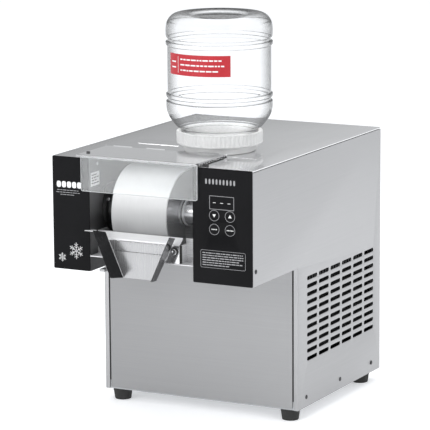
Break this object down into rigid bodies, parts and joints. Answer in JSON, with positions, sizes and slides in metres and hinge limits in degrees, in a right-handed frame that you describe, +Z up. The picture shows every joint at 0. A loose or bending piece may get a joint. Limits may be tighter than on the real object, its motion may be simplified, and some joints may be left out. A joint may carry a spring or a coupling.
{
  "type": "shaved ice machine",
  "caption": "Countertop shaved ice machine: a chilled drum behind a clear lift-up guard, a scraper and snow chute under an overhanging head, and an inverted water bottle on top.",
  "frame": {"origin": "middle of the outline seen from above, on the surface the feet stand on", "axes": "+X to the right seen from the front, +Y from the fascia to the rear panel, +Z up"},
  "size_m": [0.3524, 0.5104, 0.6499],
  "materials": {
    "steel": "brushed stainless, satin, grain along the sheet",
    "polished": "mirror-polished stainless",
    "galvanised": "plain zinc-coated steel, matt",
    "gloss_black": "deep gloss black overlay with white printing",
    "black_plastic": "moulded black plastic, fine texture",
    "rubber": "matt black rubber",
    "frosted_drum": "fine-turned metal with a film of frost",
    "clear_acrylic": "clear acrylic with bright polished edges",
    "clear_bottle": "clear blown plastic, glossy",
    "milky_plastic": "translucent milky white plastic",
    "red_label": "satin red film with plain white bars",
    "circuit_board": "green laminate with solder and parts",
    "copper": "drawn copper tube",
    "black_paint": "black enamel, slightly glossy",
    "fins": "plain aluminium fin stock"
  },
  "bodies": {
    "cabinet": {"left_side_panel": "steel", "right_side_panel": "steel", "base_front_panel": "steel", "rear_panel": "steel", "top_cover": "steel", "bottle_seat": "steel", "right_pod_shell": "steel", "chamber_back_wall": "steel", "water_trough": "steel", "left_front_screw": "polished", "left_middle_screw": "polished", "left_rear_screw": "polished", "left_head_screw": "polished", "right_front_screw": "polished", "right_middle_screw": "polished", "right_rear_screw": "polished", "right_head_screw": "polished", "scraper_blade": "polished", "blade_holder": "polished", "left_thumb_screw": "polished", "right_thumb_screw": "polished", "lid_hinge": "polished", "base_tray": "galvanised", "deck_plate": "galvanised", "right_drum_bearing": "galvanised", "rotary_union": "galvanised", "left_fascia": "gloss_black", "right_fascia": "gloss_black", "left_pod_shell": "gloss_black", "power_inlet": "black_plastic", "left_drum_bearing": "black_plastic", "fan_shroud": "black_plastic", "blade_gasket": "rubber", "front_left_foot": "rubber", "rear_left_foot": "rubber", "front_right_foot": "rubber", "rear_right_foot": "rubber", "control_board": "circuit_board", "discharge_pipe": "copper", "suction_pipe": "copper", "gear_motor": "black_paint", "fan_motor": "black_paint", "compressor": "black_paint", "condenser": "fins"},
    "drum": {"drum_shell": "frosted_drum", "drum_shaft": "polished"},
    "lid": {"lid": "steel", "splash_guard": "clear_acrylic"},
    "fan": {"fan_blades": "black_plastic"},
    "chute": {"snow_chute": "polished"},
    "bottle": {"bottle": "clear_bottle", "bottle_shoulder": "clear_bottle", "bottle_base": "clear_bottle", "bottle_cap": "milky_plastic", "bottle_label": "red_label"},
    "cap_valve": {"cap_valve": "milky_plastic"},
    "down_button": {"down_button": "gloss_black"},
    "up_button": {"up_button": "gloss_black"},
    "mode_button": {"mode_button": "gloss_black"},
    "power_button": {"power_button": "gloss_black"}
  },
  "joints": [
    {"name": "drum_spin", "type": "hinge", "parent": "cabinet", "child": "drum", "pos_m": [0, -0.1448, 0.3428], "axis": [1, 0, 0], "continuous": true},
    {"name": "lid_tilt", "type": "hinge", "parent": "cabinet", "child": "lid", "pos_m": [0, -0.1262, 0.4337], "axis": [-1, 0, 0], "range_deg": [0, 40]},
    {"name": "fan_spin", "type": "hinge", "parent": "cabinet", "child": "fan", "pos_m": [0.1297, 0.0952, 0.139], "axis": [1, 0, 0], "continuous": true},
    {"name": "chute_lift", "type": "slide", "parent": "cabinet", "child": "chute", "axis": [0, 0, 1], "range_m": [0, 0.045]},
    {"name": "bottle_lift", "type": "slide", "parent": "cabinet", "child": "bottle", "axis": [0, 0, 1], "range_m": [0, 0.15]},
    {"name": "valve_lift", "type": "slide", "parent": "bottle", "child": "cap_valve", "axis": [0, 0, 1], "range_m": [0, 0.005], "stiffness_N_per_m": 200},
    {"name": "down_button_press", "type": "slide", "parent": "cabinet", "child": "down_button", "axis": [0, 1, 0], "range_m": [0, 0.0006], "stiffness_N_per_m": 800},
    {"name": "up_button_press", "type": "slide", "parent": "cabinet", "child": "up_button", "axis": [0, 1, 0], "range_m": [0, 0.0006], "stiffness_N_per_m": 800},
    {"name": "mode_button_press", "type": "slide", "parent": "cabinet", "child": "mode_button", "axis": [0, 1, 0], "range_m": [0, 0.0006], "stiffness_N_per_m": 800},
    {"name": "power_button_press", "type": "slide", "parent": "cabinet", "child": "power_button", "axis": [0, 1, 0], "range_m": [0, 0.0006], "stiffness_N_per_m": 800}
  ]
}
